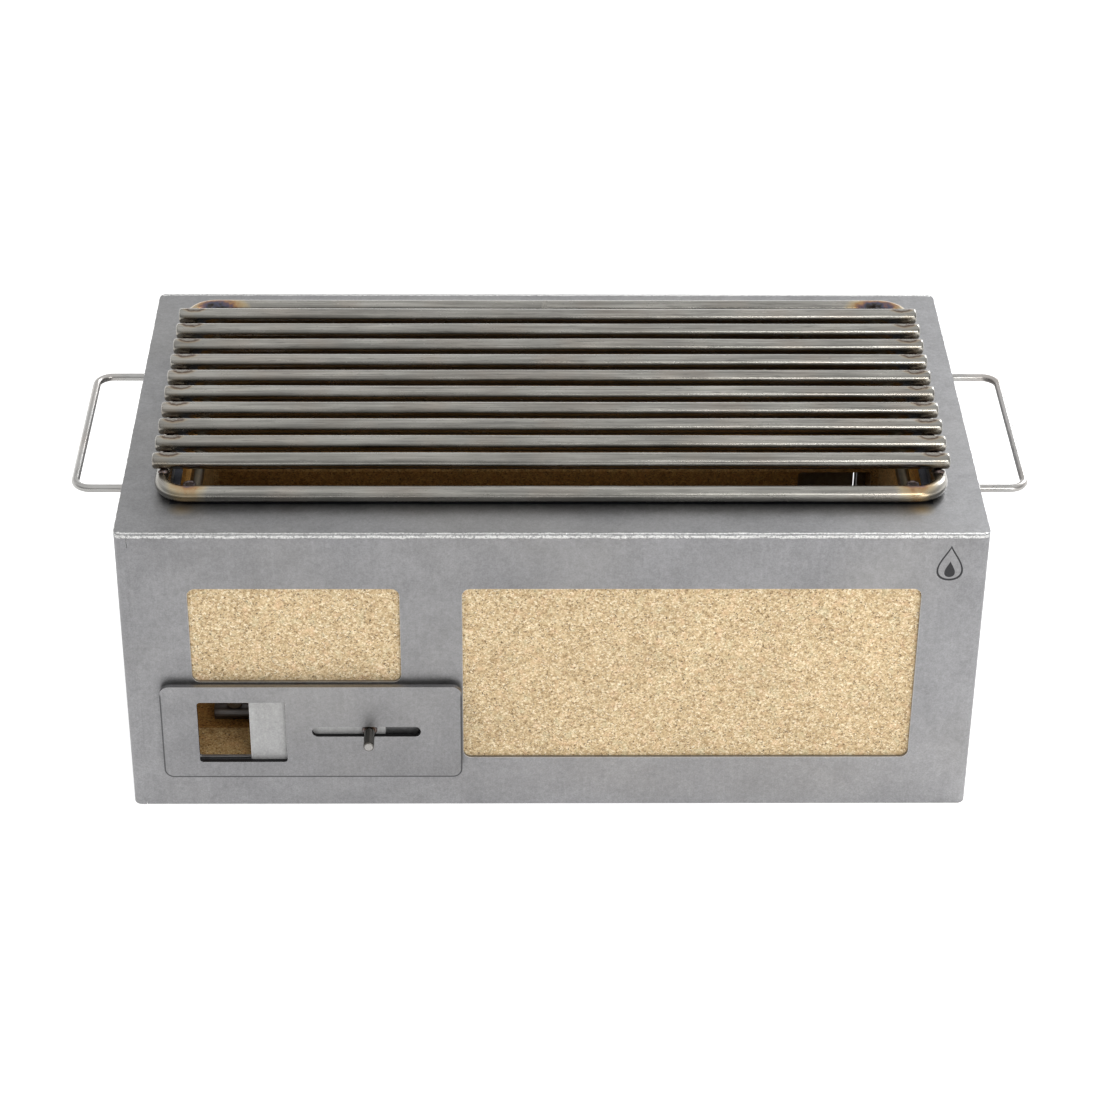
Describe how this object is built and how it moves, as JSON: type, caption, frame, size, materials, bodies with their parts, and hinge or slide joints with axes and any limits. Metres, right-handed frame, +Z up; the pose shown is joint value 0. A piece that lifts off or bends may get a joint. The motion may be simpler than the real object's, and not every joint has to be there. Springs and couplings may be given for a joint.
{
  "type": "hibachi grill",
  "caption": "Box-shaped charcoal hibachi (konro) of sheet steel lined with vermiculite board, with sliding air vents, wire handles, a charcoal grate and a lift-off rod cooking grate.",
  "frame": {"origin": "on the ground under the middle of the casing, at the bottom centre of the overall box", "axes": "+X along the long side towards the right handle as seen from the front, +Y from the front to the rear, +Z up"},
  "size_m": [0.592, 0.344, 0.2203],
  "materials": {
    "casing_steel": "satin",
    "damper_steel": "satin",
    "grate_rod": "satin",
    "handle_wire": "gloss",
    "coal_grate_rod": "matte",
    "vermiculite": "matte"
  },
  "bodies": {
    "casing": {"front_wall_sheet": "casing_steel", "rear_wall_sheet": "casing_steel", "top_plate": "casing_steel", "base_plate": "casing_steel", "front_vent_cover": "casing_steel", "front_guide_upper": "casing_steel", "front_guide_lower": "casing_steel", "rear_vent_cover": "casing_steel", "rear_guide_upper": "casing_steel", "rear_guide_lower": "casing_steel", "liner_board_front": "vermiculite", "liner_board_rear": "vermiculite", "liner_board_left": "vermiculite", "liner_board_right": "vermiculite", "liner_board_floor": "vermiculite", "handle_left": "handle_wire", "handle_right": "handle_wire"},
    "front_damper": {"front_damper_plate": "damper_steel", "front_damper_pin": "damper_steel"},
    "rear_damper": {"rear_damper_plate": "damper_steel", "rear_damper_pin": "damper_steel"},
    "cooking_grate": {"grate_frame": "grate_rod", "grate_bar_01": "grate_rod", "grate_bar_02": "grate_rod", "grate_bar_03": "grate_rod", "grate_bar_04": "grate_rod", "grate_bar_05": "grate_rod", "grate_bar_06": "grate_rod", "grate_bar_07": "grate_rod", "grate_bar_08": "grate_rod", "grate_bar_09": "grate_rod", "grate_bar_10": "grate_rod", "grate_runner_left": "grate_rod", "grate_runner_right": "grate_rod"},
    "coal_grate": {"coal_grate_support_01": "coal_grate_rod", "coal_grate_support_02": "coal_grate_rod", "coal_grate_support_03": "coal_grate_rod", "coal_grate_bar_01": "coal_grate_rod", "coal_grate_bar_02": "coal_grate_rod", "coal_grate_bar_03": "coal_grate_rod", "coal_grate_bar_04": "coal_grate_rod", "coal_grate_bar_05": "coal_grate_rod", "coal_grate_bar_06": "coal_grate_rod", "coal_grate_bar_07": "coal_grate_rod", "coal_grate_bar_08": "coal_grate_rod", "coal_grate_bar_09": "coal_grate_rod", "coal_grate_bar_10": "coal_grate_rod", "coal_grate_bar_11": "coal_grate_rod", "coal_grate_bar_12": "coal_grate_rod", "coal_grate_bar_13": "coal_grate_rod", "coal_grate_bar_14": "coal_grate_rod", "coal_grate_bar_15": "coal_grate_rod", "coal_grate_bar_16": "coal_grate_rod", "coal_grate_bar_17": "coal_grate_rod", "coal_grate_bar_18": "coal_grate_rod", "coal_grate_bar_19": "coal_grate_rod"}
  },
  "joints": [
    {"name": "front_damper_slide", "type": "slide", "parent": "casing", "child": "front_damper", "axis": [1, 0, 0], "range_m": [-0.032, 0.0279]},
    {"name": "rear_damper_slide", "type": "slide", "parent": "casing", "child": "rear_damper", "axis": [-1, 0, 0], "range_m": [-0.0017, 0.0582]},
    {"name": "cooking_grate_lift", "type": "slide", "parent": "casing", "child": "cooking_grate", "axis": [0, 0, 1], "range_m": [0, 0.15]},
    {"name": "coal_grate_lift", "type": "slide", "parent": "casing", "child": "coal_grate", "axis": [0, 0, 1], "range_m": [0, 0.12]}
  ]
}
